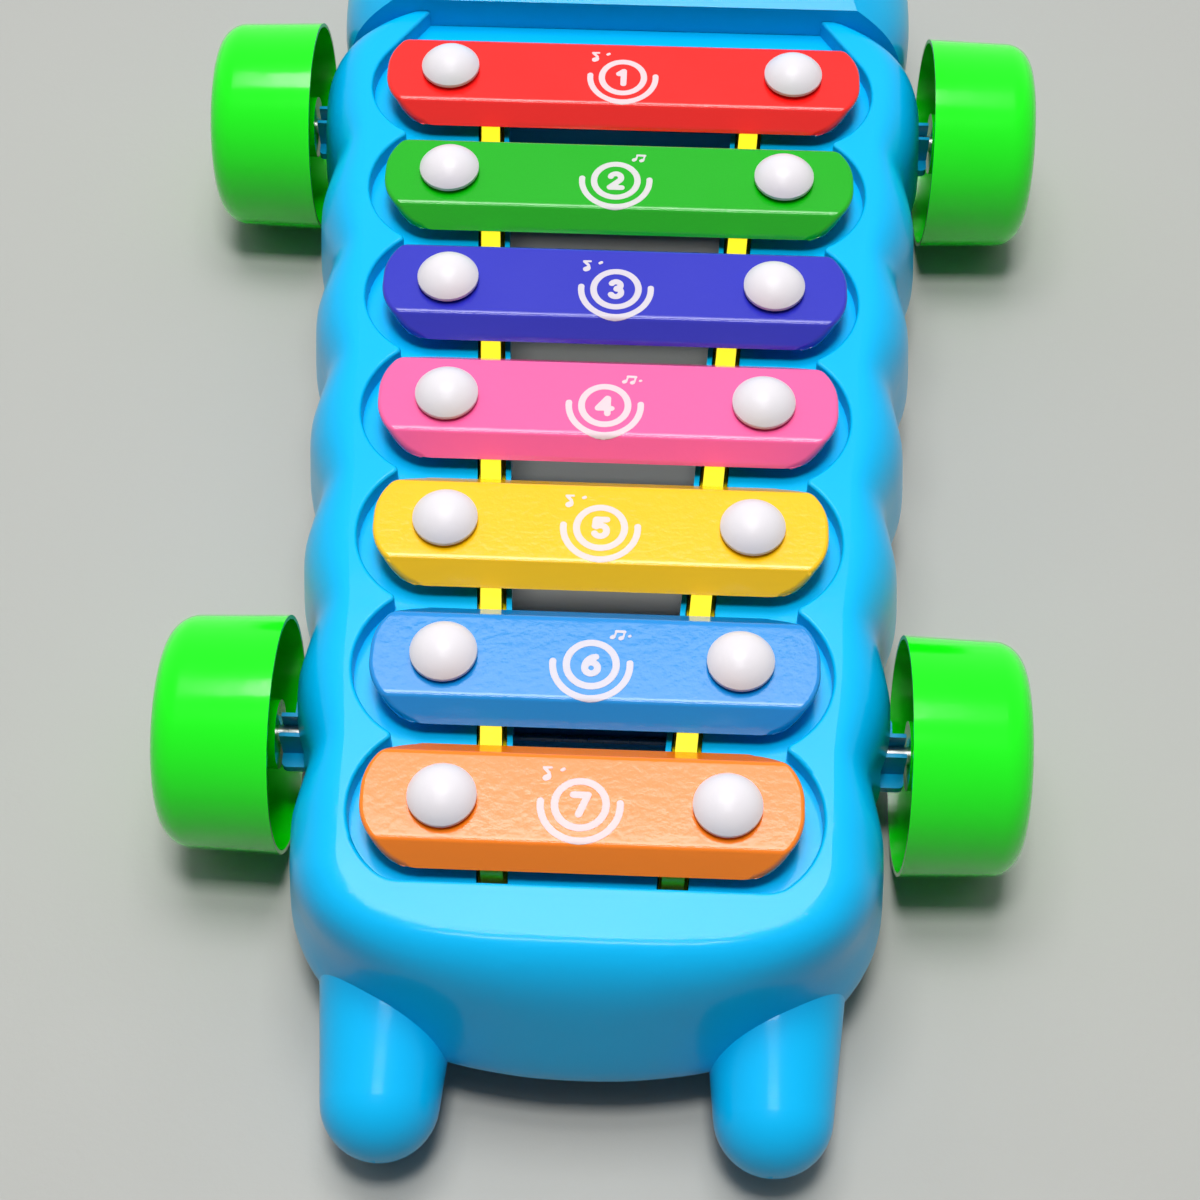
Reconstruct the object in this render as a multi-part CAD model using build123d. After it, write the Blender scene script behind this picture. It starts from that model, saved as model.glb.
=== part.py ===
from build123d import *
import math
import os

os.makedirs("parts", exist_ok=True)

# A pull-along xylophone. All lengths are millimetres.
# X is to the right, +Y towards the head, +Z up, and the floor is z = 0.

# Bars
bar_count = 7
bar_pitch = 26.0
longest_bar_length = 91.0
bar_length_step = 3.5
bar_width = 22.0
bar_height = 3.8
bar_thickness = 1.0
bar_flange_run = 3.3
bar_fold_radius = 1.4
bar_corner_radius = 10.0
bar_hole_radius = 2.5
bar_play = 0.8
bar_rest_gap = 0.05
bar_lift = 0.5

# Dome-headed nails
nail_inset = 12.6
nail_head_radius = 5.5
nail_head_height = 3.5
nail_head_skirt = 0.6
nail_shank_radius = 1.6
nail_shank_length = 16.0
nail_head_gap = 0.3
press_gap = 0.02

# Body shell
deck_height = 42.5
skirt_height = 12.0
wall = 2.4
flank_margin = 13.7
rim_land = 1.3
flank_belly_height = 26.0
flank_skirt_inset = 0.8
scallop_depth = 2.6
shoulder_land = 1.6
neck_offset = 19.1
tail_depth = 32.6
tail_inset = 12.3

# Tray in the deck
tray_depth = 3.8
bar_end_gap = 2.8
cusp_reach = 7.4
cusp_radius = 0.9
neck_corner_degrees = 33.0
tray_rear_offset = 12.4
tray_rear_corner = 6.0
deck_edge_round = 0.6
opening_front_offset = 6.0
opening_rear_offset = 4.0

# Rails and their troughs
rail_offset = 7.5
rail_width = 3.5
rail_proud = 3.5
rail_height = 7.6
rail_foot_height = 1.5
rail_foot_gap = 0.15
rail_side_gap = 0.75
rail_front_offset = 10.0
rail_rear_offset = 10.1
rail_end_gap = 0.8
rail_end_round = 2.0
trough_rib = 0.9
trough_base = 1.6

# Feet at the tail
foot_side_inset = 4.8
foot_root_offset = 10.0
foot_root_height = 15.5
foot_root_radius = 12.3
foot_tip_height = 12.3
foot_tip_radius = 9.7
foot_clearance = 4.0
tail_reach = 125.6

# Head
head_side_step = 2.2
head_length = 68.4
head_crown_height = 67.0
nape_height = 45.5
nape_slope = 32.0
seam_gap = 0.1
ear_radius = 11.0
ear_thickness = 8.0
ear_tilt = 20.0
eye_radius = 7.5
eye_gap = 0.1
lug_thickness = 4.0
lug_half_width = 7.0
lug_height = 16.0
lug_hole_radius = 2.5
lug_hole_reach = 4.5

# Wheels and axles
wheel_radius = 20.6
wheel_width = 21.1
wheel_wall = 1.4
wheel_lip = 0.7
wheel_draft = 0.5
wheel_edge_radius = 5.0
wheel_crown = 0.8
hub_radius = 6.0
hub_recess = 1.2
axle_radius = 1.5
axle_end_cover = 3.0
front_axle_lead = 8.0
rear_axle_lag = 2.25
front_wheel_gap = 1.3
rear_wheel_gap = 2.3

# Axle carriers
carrier_plate_width = 10.0
carrier_plate_thickness = 1.6
carrier_corner_radius = 1.0
carrier_floor_drop = 1.0
carrier_web = 0.75
carrier_web_rise = 2.1
axle_running_gap = 0.05
hub_end_gap = 0.4
carrier_fin_inset = 2.4
carrier_fin_thickness = 1.6
carrier_fin_round = 0.8
carrier_side_gap = 0.4
ear_pad_width = 11.0
ear_pad_reach = 13.5
carrier_screw_offset = 8.6
carrier_screw_reach = 10.1
keeper_thickness = 2.4

# Screws and bosses
screw_radius = 1.3
screw_length = 10.0
screw_head_radius = 2.8
screw_head_height = 1.8
screw_slot_length = 2.8
screw_slot_width = 0.6
screw_hole_gap = 0.25
boss_radius = 3.6
head_screw_spread = 22.0
head_screw_drop = 8.8

# One overrun serves every cut that passes through a face
overrun = 5.0

# Places that follow from the sizes
middle_index = (bar_count - 1) / 2
neck_reach = middle_index * bar_pitch + neck_offset
nose_reach = neck_reach + head_length + lug_hole_reach + lug_half_width
middle_bar_y = (tail_reach - nose_reach) / 2
last_index = bar_count - 1
first_bar_y = middle_bar_y + middle_index * bar_pitch
last_bar_y = first_bar_y - last_index * bar_pitch
neck_y = first_bar_y + neck_offset
floor_z = deck_height - tray_depth
head_screw_height = floor_z - wall - head_screw_drop
rail_top_z = floor_z + rail_proud
bar_bottom_z = rail_top_z + bar_rest_gap
bar_top_z = bar_bottom_z + bar_height
nail_head_z = bar_top_z + bar_lift + nail_head_gap
axle_z = wheel_radius
front_axle_y = first_bar_y + front_axle_lead
rear_axle_y = last_bar_y + bar_pitch - rear_axle_lag
longest_half = longest_bar_length / 2
half_step = bar_length_step / 2
flank_inset = flank_margin - bar_end_gap - rim_land


def bar_y(index):
    """The centre of a bar, counted from the longest one."""
    return first_bar_y - index * bar_pitch


def place_of(y):
    """How many pitches y lies behind the longest bar."""
    return (first_bar_y - y) / bar_pitch


def taper(y):
    """Half the bar length that the deck would carry at y."""
    return longest_half - half_step * place_of(y)


def nail_x(y):
    return taper(y) - nail_inset


def rail_x(y):
    return nail_x(y) - rail_offset


def write(name, shape):
    export_step(shape, f"parts/{name}.step")
    print(name, len(shape.solids()), "solids")


# Tray outline: each arc falls in by cusp_reach at half a pitch from its bar
arc_radius = ((bar_pitch / 2) ** 2 + cusp_reach ** 2) / (2 * cusp_reach)


def tray_edge_x(y):
    return taper(y) + bar_end_gap


def arc_fall(distance):
    """How far an arc has come in at this distance along Y from its bar."""
    return arc_radius - math.sqrt(arc_radius ** 2 - distance ** 2)


# At the neck the first arc runs on as a straight line to the head's wall
neck_turn = math.radians(neck_corner_degrees)
neck_corner_offset = arc_radius * math.sin(neck_turn)
neck_corner_x = tray_edge_x(first_bar_y) - arc_fall(neck_corner_offset)
neck_corner = (neck_corner_x, first_bar_y + neck_corner_offset)
tray_neck_x = neck_corner_x - (neck_offset - neck_corner_offset) * math.tan(neck_turn)
shoulder_drop = taper(neck_y) + flank_margin - flank_inset - tray_neck_x - shoulder_land

# Body outline
# The flank swells at each bar. The valley between two swells is softened.
valley_share = 0.3
points_per_pitch = 6
tail_points = 9
shoulder_points = 3
# Angles round the quarter ellipse between the deck's edge and the belly
flank_angles = (90.0, 78.0, 60.0, 35.0, 0.0)
# How much of the scallop is left at the deck and at the skirt
deck_scallop_share = 0.2
skirt_scallop_share = 0.8
# Exponents of the tail's rounded outline at the skirt and at the deck
skirt_squareness = 2.2
deck_squareness = 3.5
# How suddenly the shoulder turns in to the neck
shoulder_power = 3.5


def swell(y):
    """0 at a bar's centre and 1 midway between two bars."""
    wave = math.cos(math.pi * place_of(y))
    soft = math.sqrt(wave * wave + valley_share ** 2)
    top = math.sqrt(1 + valley_share ** 2)
    return (top - soft) / (top - valley_share)


def outline_wire(z, flank_in, tail_in, scallop, squareness, front_y):
    """The body's plan outline at one height, closed by a straight front edge."""
    flank = []
    for step in range(shoulder_points, 0, -1):
        y = first_bar_y + step / shoulder_points * (front_y - first_bar_y)
        pull = ((y - first_bar_y) / neck_offset) ** shoulder_power
        flank.append((taper(y) + flank_margin - flank_in - shoulder_drop * pull, y))
    for step in range(last_index * points_per_pitch + 1):
        y = first_bar_y - step * bar_pitch / points_per_pitch
        flank.append((taper(y) + flank_margin - flank_in - scallop * swell(y), y))
    reach = flank[-1][0]
    depth = tail_depth - tail_in
    power = 2 / squareness
    tail = [flank[-1]]
    for step in range(1, tail_points):
        angle = step / tail_points * math.pi / 2
        x = reach * math.cos(angle) ** power
        tail.append((x, last_bar_y - depth * math.sin(angle) ** power))
    tail.append((0.0, last_bar_y - depth))
    along_flank = Vector(-half_step / bar_pitch, -1)
    turn_in = ((front_y - first_bar_y) / neck_offset) ** (shoulder_power - 1)
    front_slope = shoulder_power * shoulder_drop * turn_in / neck_offset
    at_front = Vector(front_slope - half_step / bar_pitch, -1)
    right = [level_curve(flank[: shoulder_points + 1], z, at_front, along_flank)]
    for index in range(last_index):
        first = shoulder_points + index * points_per_pitch
        bay = flank[first : first + points_per_pitch + 1]
        right.append(level_curve(bay, z, along_flank, along_flank))
    right.append(level_curve(tail, z, along_flank, Vector(-1, 0)))
    left = [edge.mirror(Plane.YZ) for edge in reversed(right)]
    front = Edge.make_line(Vector(-flank[0][0], front_y, z), Vector(flank[0][0], front_y, z))
    return Wire([*right, *left, front])


def level_curve(places, z, start, end):
    """A smooth curve through plan places at one height, with its end directions."""
    points = [Vector(x, y, z) for x, y in places]
    shares = [index / (len(points) - 1) for index in range(len(points))]
    return Edge.make_spline(points, tangents=[start, end], parameters=shares)


def body_block(inset, bottom_z, top_z, front_y):
    """The body as one solid block, drawn in by inset all round."""
    wires = []
    for degrees in flank_angles:
        lean = math.cos(math.radians(degrees))
        lift = math.sin(math.radians(degrees))
        level = flank_belly_height + (deck_height - flank_belly_height) * lift
        z = flank_belly_height + (top_z - flank_belly_height) * lift
        tail_share = (level - skirt_height) / (deck_height - skirt_height)
        flank_in = inset + flank_inset * (1 - lean)
        tail_in = inset + tail_inset * (1 - math.sqrt(max(1 - tail_share ** 2, 0.0)))
        scallop = scallop_depth * (deck_scallop_share + (1 - deck_scallop_share) * lean)
        square = skirt_squareness + (deck_squareness - skirt_squareness) * tail_share ** 4
        wires.append(outline_wire(z, flank_in, tail_in, scallop, square, front_y))
    scallop = scallop_depth * skirt_scallop_share
    skirt_in = inset + flank_skirt_inset
    wires.append(outline_wire(bottom_z, skirt_in, inset, scallop, skirt_squareness, front_y))
    return Solid.make_loft(wires)


def both_sides(shape):
    """The shape and its mirror image across the middle of the toy."""
    return shape + mirror(shape, about=Plane.YZ)


def block(low, high):
    """A box from its lowest to its highest corner."""
    size = [top - bottom for bottom, top in zip(low, high)]
    middle = [(top + bottom) / 2 for bottom, top in zip(low, high)]
    return Pos(*middle) * Box(*size)


def column(x, y, low_z, high_z, radius):
    """An upright cylinder between two heights."""
    return Pos(x, y, (low_z + high_z) / 2) * Cylinder(radius, high_z - low_z)


def prism(face, low_z, high_z):
    """A flat plan outline made solid between two heights."""
    return Pos(0, 0, low_z) * extrude(face, high_z - low_z)


def cap_middle(radius, rise):
    """On a shallow dome, a point halfway up its arc: how far out and how far below the top."""
    ball = (radius ** 2 + rise ** 2) / (2 * rise)
    turn = math.asin(radius / ball) / 2
    return ball * math.sin(turn), ball * (1 - math.cos(turn))


def tray_face():
    """The tray's plan outline: an arc round each bar end, with a rounded cusp between bars."""
    start = neck_corner
    neck = (tray_neck_x - overrun * math.tan(neck_turn), neck_y + overrun)
    edges = [Line(neck, start)]
    corners = []
    for index in range(bar_count):
        end_y = bar_y(index + 0.5) if index < last_index else last_bar_y - tray_rear_offset
        end = (tray_edge_x(end_y) - arc_fall(bar_y(index) - end_y), end_y)
        edges.append(ThreePointArc(start, (tray_edge_x(bar_y(index)), bar_y(index)), end))
        corners.append(end)
        start = end
    edges.append(Line(start, (0.0, start[1])))
    edges.append(Line((0.0, start[1]), (0.0, neck[1])))
    edges.append(Line((0.0, neck[1]), neck))
    half = make_face(Curve() + edges)
    cusps = [corner for corner in half.vertices() if near_any(corner, corners[:-1])]
    half = fillet(cusps, cusp_radius)
    turns = [corner for corner in half.vertices() if near_any(corner, corners[-1:])]
    half = fillet(turns, tray_rear_corner)
    return half + mirror(half, about=Plane.YZ)


def tray_space(tray):
    """What is cut out of the deck: the tray, flared at the top where its rim is rounded."""
    low = (-nose_reach, -nose_reach, floor_z)
    high_y = neck_y + overrun
    plate = block(low, (nose_reach, high_y, deck_height)) - prism(tray, floor_z, deck_height)
    rim = []
    for edge in plate.edges():
        centre = edge.center()
        beside = abs(centre.X) < nose_reach - press_gap
        between = -nose_reach + press_gap < centre.Y < high_y - press_gap
        if edge.bounding_box().min.Z > deck_height - press_gap and beside and between:
            rim.append(edge)
    return block(low, (nose_reach, high_y, deck_height + overrun)) - fillet(rim, deck_edge_round)


def near_any(corner, places):
    return any(math.dist((corner.X, corner.Y), place) < cusp_radius / 2 for place in places)


def strip(inner, outer, front_y, rear_y):
    """A plan strip beside the right rail's centre line, from inner to outer."""
    points = [
        (rail_x(front_y) + inner, front_y),
        (rail_x(front_y) + outer, front_y),
        (rail_x(rear_y) + outer, rear_y),
        (rail_x(rear_y) + inner, rear_y),
    ]
    return make_face(Polyline(*points, close=True))


# Places of the rails and troughs
rail_half = rail_width / 2
slot_half = rail_half + rail_side_gap
rail_front_y = first_bar_y + rail_front_offset
rail_rear_y = last_bar_y - rail_rear_offset
rail_bottom_z = rail_top_z - rail_height
nail_tip_z = nail_head_z - nail_shank_length

# Places of the axles, wheels and carriers
carrier_plate_top = axle_z - axle_radius - carrier_floor_drop
carrier_plate_bottom = carrier_plate_top - carrier_plate_thickness
carrier_top = axle_z + axle_radius + carrier_web_rise
bearing_radius = axle_radius + axle_running_gap
carrier_half = carrier_plate_width / 2
carrier_web_half = bearing_radius + carrier_web
# For each end: the axle's place, the wheels' gap, the way inward, and how far the fins reach
axle_places = {
    "front": (front_axle_y, front_wheel_gap, -1, carrier_web_half),
    "rear": (rear_axle_y, rear_wheel_gap, 1, carrier_half),
}


def rim_x(axle_y, gap):
    """Where a wheel's open inner rim stands."""
    return taper(axle_y) + flank_margin + gap


def screw_place(axle_y, inward):
    """The plan place of the right screw of a carrier."""
    return rail_x(axle_y) + carrier_screw_reach, axle_y + inward * carrier_screw_offset


# Body shell
def foot(shrink):
    """One stub foot: a capsule that narrows towards its tip, drawn in by shrink."""
    foot_spread = taper(last_bar_y) + flank_margin - foot_root_radius - foot_side_inset
    root = Vector(foot_spread, last_bar_y - foot_root_offset, foot_root_height)
    tip = Vector(foot_spread, middle_bar_y - tail_reach + foot_tip_radius, foot_tip_height)
    length = (tip - root).length
    large = foot_root_radius - shrink
    small = foot_tip_radius - shrink
    lean = math.asin((large - small) / length)
    upright = math.cos(lean)
    rise = math.sin(lean)
    side = (math.pi / 2 - lean) / 2
    profile = Curve() + [
        Line((-large, 0.0), (length + small, 0.0)),
        ThreePointArc(
            (length + small, 0.0),
            (length + small * math.cos(side), small * math.sin(side)),
            (length + small * rise, small * upright),
        ),
        Line((length + small * rise, small * upright), (large * rise, large * upright)),
        ThreePointArc((large * rise, large * upright), (-large * upright, large * rise), (-large, 0.0)),
    ]
    along = (tip - root).normalized()
    plane = Plane(origin=root, x_dir=along, z_dir=Vector(1, 0, 0))
    turned = revolve(make_face(profile), axis=Axis.X)
    return plane.location * turned


def make_body_shell():
    tray = tray_face()
    outer = Part() + body_block(0.0, skirt_height, deck_height, neck_y)
    outer -= tray_space(tray)
    feet_floor = block(
        (-nose_reach, -nose_reach, -nose_reach),
        (nose_reach, nose_reach, foot_clearance),
    )
    outer += both_sides(foot(0.0) - feet_floor)
    hollow = Part() + body_block(wall, skirt_height, deck_height - wall, neck_y - wall)
    mouth = hollow.faces().sort_by(Axis.Z)[0]
    hollow += extrude(mouth, skirt_height - foot_clearance + overrun, dir=(0, 0, -1))
    hollow -= prism(offset(tray, wall), floor_z - wall, deck_height)
    hollow += both_sides(foot(wall))
    shell = outer - hollow

    front_y = first_bar_y + opening_front_offset
    rear_y = last_bar_y - opening_rear_offset
    inner_edge = -slot_half - trough_rib
    opening = make_face(
        Polyline(
            (rail_x(front_y) + inner_edge, front_y),
            (-rail_x(front_y) - inner_edge, front_y),
            (-rail_x(rear_y) - inner_edge, rear_y),
            (rail_x(rear_y) + inner_edge, rear_y),
            close=True,
        )
    )
    shell -= prism(opening, rail_bottom_z, deck_height)

    long_front = rail_front_y + rail_end_gap
    long_rear = rail_rear_y - rail_end_gap
    rib_half = slot_half + trough_rib
    trough = strip(-rib_half, rib_half, long_front + trough_rib, long_rear - trough_rib)
    slot = strip(-slot_half, slot_half, long_front, long_rear)
    shell += both_sides(prism(trough, rail_bottom_z - trough_base, floor_z))

    for index in range(bar_count):
        x = nail_x(bar_y(index))
        shell += both_sides(column(x, bar_y(index), nail_tip_z - press_gap, floor_z, boss_radius))
    for axle_y, gap, inward, fin_reach in axle_places.values():
        screw_x, screw_y = screw_place(axle_y, inward)
        shell += both_sides(column(screw_x, screw_y, carrier_plate_top, floor_z - wall / 2, boss_radius))
        shell += both_sides(keeper(axle_y))

    shell -= both_sides(prism(slot, rail_bottom_z, deck_height))
    for index in range(bar_count):
        x = nail_x(bar_y(index))
        hole = nail_shank_radius + press_gap
        shell -= both_sides(column(x, bar_y(index), nail_tip_z - overrun, deck_height, hole))
    for axle_y, gap, inward, fin_reach in axle_places.values():
        screw_x, screw_y = screw_place(axle_y, inward)
        hole_top = carrier_plate_bottom + screw_length + wall
        hole = column(screw_x, screw_y, carrier_plate_bottom, hole_top, screw_radius + press_gap)
        shell -= both_sides(hole)
        notch_half = carrier_half + carrier_side_gap
        flank = taper(axle_y) + flank_margin
        notch = block(
            (flank - flank_inset - wall, axle_y - notch_half, -overrun),
            (flank + overrun, axle_y + notch_half, carrier_top + carrier_side_gap),
        )
        shell -= both_sides(notch)
    head_hole = Pos(head_screw_spread, neck_y, head_screw_height) * Rot(X=90)
    shell -= both_sides(head_hole * Cylinder(screw_radius + screw_hole_gap, overrun * 2))
    return shell


def keeper(axle_y):
    """A rib that hangs from the rail's trough and keeps the axle down in its carrier."""
    half = axle_radius - carrier_side_gap / 2
    return block(
        (rail_x(axle_y) - keeper_thickness / 2, axle_y - half, axle_z + bearing_radius),
        (rail_x(axle_y) + keeper_thickness / 2, axle_y + half, rail_bottom_z - trough_base / 2),
    )


# Bars and nails
# Each bar lies loose on its nails. Where it has come to rest, as shares of its play along X and Y
bar_rest_shares = (
    (0.35, 0.15),
    (0.55, 0.10),
    (0.80, 0.55),
    (0.60, 0.70),
    (0.35, 0.45),
    (0.55, 0.20),
    (-0.60, 0.80),
)


def make_bar(index):
    """A bar folded from sheet: both long edges bent down, both ends rounded."""
    length = longest_bar_length - bar_length_step * index
    half = bar_width / 2
    top_half = half - bar_flange_run
    lean = math.atan2(bar_height, bar_flange_run)
    side_in = bar_thickness / math.sin(lean)
    fold_in = bar_thickness * math.tan(lean / 2)
    outside = make_face(
        Polyline((-half, -bar_height), (-top_half, 0), (top_half, 0), (half, -bar_height), close=True)
    )
    inside = make_face(
        Polyline(
            (-half + side_in, -bar_height),
            (-top_half + fold_in, -bar_thickness),
            (top_half - fold_in, -bar_thickness),
            (half - side_in, -bar_height),
            close=True,
        )
    )
    folds = [corner for corner in outside.vertices() if abs(corner.Y) < press_gap]
    outside = fillet(folds, bar_fold_radius)
    folds = [corner for corner in inside.vertices() if abs(corner.Y + bar_thickness) < press_gap]
    inside = fillet(folds, bar_fold_radius - bar_thickness)
    plane = Plane(origin=(-length / 2, bar_y(index), bar_top_z), x_dir=(0, 1, 0), z_dir=(1, 0, 0))
    bar = extrude(plane * outside, length)
    plan = Pos(0, bar_y(index), 0) * RectangleRounded(length, bar_width, bar_corner_radius)
    bar = bar & prism(plan, bar_bottom_z, bar_top_z + overrun)
    bar -= extrude(plane * inside, length)
    x = nail_x(bar_y(index))
    hole = column(x, bar_y(index), bar_bottom_z - overrun, bar_top_z + overrun, bar_hole_radius)
    across, along = bar_rest_shares[index % len(bar_rest_shares)]
    return Pos(across * bar_play, along * bar_play, 0) * (bar - both_sides(hole))


def make_nails(index):
    """The pair of dome-headed nails that hold one bar."""
    dome_low = nail_head_z + nail_head_skirt
    dome_top = nail_head_z + nail_head_height
    out, below = cap_middle(nail_head_radius, nail_head_height - nail_head_skirt)
    profile = Curve() + [
        Line((0.0, nail_tip_z), (nail_shank_radius, nail_tip_z)),
        Line((nail_shank_radius, nail_tip_z), (nail_shank_radius, nail_head_z)),
        Line((nail_shank_radius, nail_head_z), (nail_head_radius, nail_head_z)),
        Line((nail_head_radius, nail_head_z), (nail_head_radius, dome_low)),
        ThreePointArc((nail_head_radius, dome_low), (out, dome_top - below), (0.0, dome_top)),
        Line((0.0, dome_top), (0.0, nail_tip_z)),
    ]
    nail = revolve(Plane.XZ * make_face(profile), axis=Axis.Z)
    return both_sides(Pos(nail_x(bar_y(index)), bar_y(index), 0) * nail)


# Rails
def make_rail():
    """The right rail: a strip with a wider foot that stands in its trough."""
    foot_half = slot_half - rail_foot_gap
    foot = strip(-foot_half, foot_half, rail_front_y, rail_rear_y)
    web = strip(-rail_half, rail_half, rail_front_y, rail_rear_y)
    rail = prism(foot, rail_bottom_z, rail_bottom_z + rail_foot_height)
    rail += prism(web, rail_bottom_z, rail_top_z)
    ends = []
    for edge in rail.edges():
        centre = edge.center()
        size = edge.bounding_box().size
        outer = centre.Y < rail_rear_y + rail_half or centre.Y > rail_front_y - rail_half
        if centre.Z > rail_top_z - press_gap and size.Y < rail_half and outer:
            ends.append(edge)
    return fillet(ends, rail_end_round)


# Wheels and axles
def make_wheel(axle_y, gap):
    """The right wheel of a pair: a cup whose wall thins to a lip at its open side, with a hub."""
    small = wheel_radius - wheel_draft
    face = wheel_width - wheel_crown
    edge = wheel_edge_radius
    inner_edge = edge - wheel_wall
    turn = math.cos(math.pi / 4)
    bore = axle_radius + press_gap
    bore_end = wheel_width - axle_end_cover
    out, below = cap_middle(small - edge, wheel_crown)
    profile = Curve() + [
        Line((0.0, wheel_radius - wheel_lip), (0.0, wheel_radius)),
        Line((0.0, wheel_radius), (face - edge, small)),
        ThreePointArc(
            (face - edge, small),
            (face - edge + edge * turn, small - edge + edge * turn),
            (face, small - edge),
        ),
        ThreePointArc((face, small - edge), (wheel_width - below, out), (wheel_width, 0.0)),
        Polyline(
            (wheel_width, 0.0),
            (bore_end, 0.0),
            (bore_end, bore),
            (hub_recess, bore),
            (hub_recess, hub_radius),
            (face - wheel_wall, hub_radius),
            (face - wheel_wall, small - edge),
        ),
        ThreePointArc(
            (face - wheel_wall, small - edge),
            (face - edge + inner_edge * turn, small - edge + inner_edge * turn),
            (face - edge, small - wheel_wall),
        ),
        Line((face - edge, small - wheel_wall), (0.0, wheel_radius - wheel_lip)),
    ]
    return Pos(rim_x(axle_y, gap), axle_y, axle_z) * revolve(make_face(profile), axis=Axis.X)


def make_axle(axle_y, gap):
    half = rim_x(axle_y, gap) + wheel_width - axle_end_cover - axle_running_gap
    return Pos(0, axle_y, axle_z) * Rot(Y=90) * Cylinder(axle_radius, half * 2)


def make_carrier(axle_y, gap, inward, fin_reach):
    """A channel across the body, open upwards, in which an axle turns."""
    end_x = rim_x(axle_y, gap) + hub_recess - hub_end_gap
    plate = block(
        (-end_x, axle_y - carrier_half, carrier_plate_bottom),
        (end_x, axle_y + carrier_half, carrier_plate_top),
    )
    carrier = fillet(upright_edges(plate), carrier_corner_radius)
    carrier += block(
        (-end_x, axle_y - carrier_web_half, carrier_plate_top),
        (end_x, axle_y + carrier_web_half, carrier_top),
    )
    carrier -= block(
        (-end_x - overrun, axle_y - bearing_radius, carrier_plate_top),
        (end_x + overrun, axle_y + bearing_radius, carrier_top + overrun),
    )
    fin_x = end_x - carrier_fin_inset
    fin = block(
        (fin_x - carrier_fin_thickness, axle_y - carrier_web_half, carrier_plate_top),
        (fin_x, axle_y + fin_reach, carrier_top),
    )
    if fin_reach > carrier_web_half:
        outer = [e for e in upright_edges(fin) if e.center().X > fin_x - press_gap and e.center().Y > axle_y]
        fin = fillet(outer, carrier_fin_round)
    seat_cut = block(
        (fin_x - carrier_fin_thickness - overrun, axle_y - bearing_radius, axle_z),
        (fin_x + overrun, axle_y + bearing_radius, carrier_top + overrun),
    )
    round_cut = Pos(fin_x, axle_y, axle_z) * Rot(Y=90) * Cylinder(bearing_radius, overrun * 2)
    carrier += both_sides(fin - seat_cut - round_cut)
    screw_x, screw_y = screw_place(axle_y, inward)
    pad_far = axle_y + inward * ear_pad_reach
    low_y, high_y = sorted((axle_y, pad_far))
    pad = block(
        (screw_x - ear_pad_width / 2, low_y, carrier_plate_bottom),
        (screw_x + ear_pad_width / 2, high_y, carrier_plate_top),
    )
    hole = column(
        screw_x,
        screw_y,
        carrier_plate_bottom - overrun,
        carrier_plate_top + overrun,
        screw_radius + screw_hole_gap,
    )
    return carrier + both_sides(pad) - both_sides(hole)


def upright_edges(shape):
    return [edge for edge in shape.edges() if edge.bounding_box().size.Z > carrier_plate_thickness / 2]


# Screws
def make_screw():
    """A pan-head screw that points up, with the underside of its head at z = 0."""
    shank = column(0, 0, 0, screw_length, screw_radius)
    cap = column(0, 0, -screw_head_height, 0, screw_head_radius)
    rims = [e for e in cap.edges() if e.center().Z < -screw_head_height / 2]
    cap = fillet(sorted(rims, key=lambda e: e.length)[-1:], screw_head_height / 2)
    slot = block(
        (-screw_slot_length / 2, -screw_slot_width / 2, -screw_head_height - overrun),
        (screw_slot_length / 2, screw_slot_width / 2, -screw_head_height / 2),
    )
    return shank + cap - slot - Rot(Z=90) * slot


def make_carrier_screws(axle_y, inward):
    place = Pos(*screw_place(axle_y, inward), carrier_plate_bottom)
    return both_sides(place * make_screw())


def make_head_screws():
    place = Pos(head_screw_spread, neck_y - wall, head_screw_height) * Rot(X=-90)
    return both_sides(place * make_screw())


# Head
head_half_width = taper(neck_y) + flank_margin - head_side_step
head_centre_share = 0.25
head_rear_share = 0.62
head_squareness = 2.6
head_points = 10
head_rear_points = 3
widest_lag_share = 0.98
# Places of the ear and the eye, as shares of the half width, the length and the crown's height
ear_place_shares = (0.60, 0.42, 0.985)
eye_place_shares = (0.38, 0.75, 0.828)
# Height, width and forward reach of each level, as shares
head_level_shares = (
    (0.00, 0.970, 0.965),
    (0.22, 1.000, 1.000),
    (0.40, 0.975, 0.990),
    (0.53, 0.900, 0.955),
    (0.62, 0.810, 0.910),
    (0.71, 0.700, 0.840),
    (0.82, 0.560, 0.720),
    (0.91, 0.420, 0.580),
    (0.97, 0.290, 0.430),
    (1.00, 0.170, 0.270),
)


def on_head(place_shares):
    across, along, up = place_shares
    return head_half_width * across, neck_y + head_length * along, head_crown_height * up


def head_wire(z, wide, forward, backward, rear_y):
    """The head's plan outline at one height, closed by a straight rear edge."""
    centre_y = neck_y + head_length * head_centre_share
    power = 2 / head_squareness
    lag = (centre_y - rear_y) / backward
    start = math.asin(min(lag, widest_lag_share) ** (1 / power))
    side = []
    for step in range(head_rear_points, 0, -1):
        angle = start * step / head_rear_points
        side.append((wide * math.cos(angle) ** power, centre_y - backward * math.sin(angle) ** power))
    for step in range(head_points):
        angle = step / head_points * math.pi / 2
        side.append((wide * math.cos(angle) ** power, centre_y + forward * math.sin(angle) ** power))
    side.append((0.0, centre_y + forward))
    side[0] = (side[0][0], rear_y)
    mirrored = [(-x, y) for x, y in reversed(side[:-1])]
    points = [Vector(x, y, z) for x, y in side + mirrored]
    shares = [index / (len(points) - 1) for index in range(len(points))]
    curve = Edge.make_spline(points, parameters=shares)
    return Wire([curve, Edge.make_line(points[-1], points[0])])


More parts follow.
